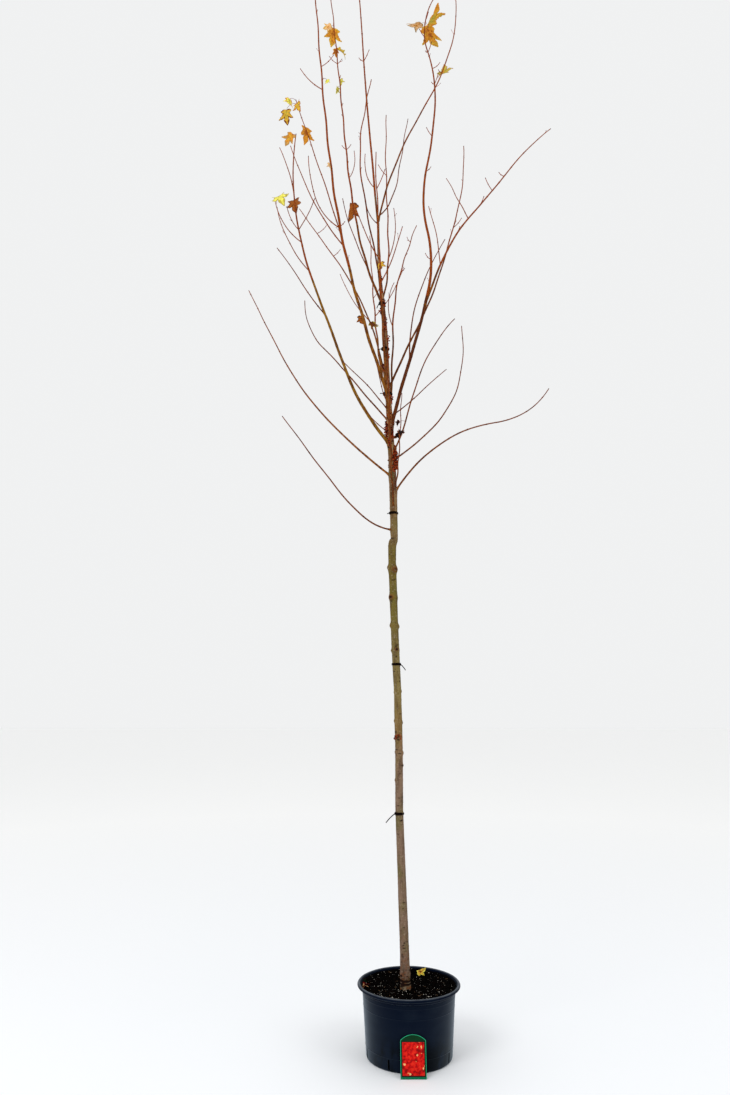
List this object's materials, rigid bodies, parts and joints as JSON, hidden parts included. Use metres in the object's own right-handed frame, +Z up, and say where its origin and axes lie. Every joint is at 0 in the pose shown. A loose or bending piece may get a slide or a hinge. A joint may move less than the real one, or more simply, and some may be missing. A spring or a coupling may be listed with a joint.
{
  "type": "container-grown red maple tree",
  "caption": "Young red maple in a round nursery pot, with a tall clear stem and a narrow, nearly bare autumn crown.",
  "frame": {"origin": "centre of the pot's flat underside", "axes": "+Z up the stem, +X to the viewer's right in the picture, +Y away from the viewer"},
  "size_m": [1.5132, 1.3496, 5.4465],
  "materials": {
    "pot": "dark navy moulded plastic with a soft sheen",
    "compost": "moist dark peat compost",
    "bark": "smooth young bark, grey-brown below and olive above",
    "bough": "smooth orange-brown bark",
    "twig": "slender maroon-brown shoots with a few autumn leaves",
    "tie": "black tube tie",
    "card": "glossy printed plastic card"
  },
  "bodies": {
    "root": {"pot": "pot", "compost": "compost", "card": "card", "stem": "bark", "tie_1": "tie", "tie_2": "tie", "tie_3": "tie", "tie_4": "tie", "tie_5": "tie", "tie_6": "tie", "bough_left_1": "bough", "bough_front_1": "bough", "bough_back_1": "bough", "bough_right_1": "bough", "bough_left_2": "bough", "bough_right_2": "bough", "bough_right_3": "bough", "bough_left_3": "bough", "bough_front_2": "bough", "bough_right_4": "bough", "bough_left_4": "bough", "bough_right_5": "bough", "bough_back_2": "bough", "bough_left_5": "bough", "bough_back_3": "bough", "bough_left_6": "bough", "bough_left_7": "bough", "bough_right_6": "bough", "bough_left_8": "bough", "bough_back_4": "bough", "bough_front_3": "bough", "bough_right_7": "bough", "bough_right_8": "bough", "bough_spur_1": "bough", "bough_spur_2": "bough", "bough_spur_3": "bough", "bough_right_9": "bough", "bough_right_10": "bough", "bough_left_9": "bough", "bough_left_10": "bough", "twigs_left_3": "twig", "twigs_front_2": "twig", "twigs_right_4": "twig", "twigs_back_2": "twig", "twigs_back_3": "twig", "twigs_left_6": "twig", "twigs_left_7": "twig", "twigs_right_6": "twig", "twigs_left_8": "twig", "twigs_back_4": "twig", "twigs_front_3": "twig", "twigs_right_7": "twig", "twigs_right_9": "twig", "twigs_top": "twig"}
  },
  "joints": []
}
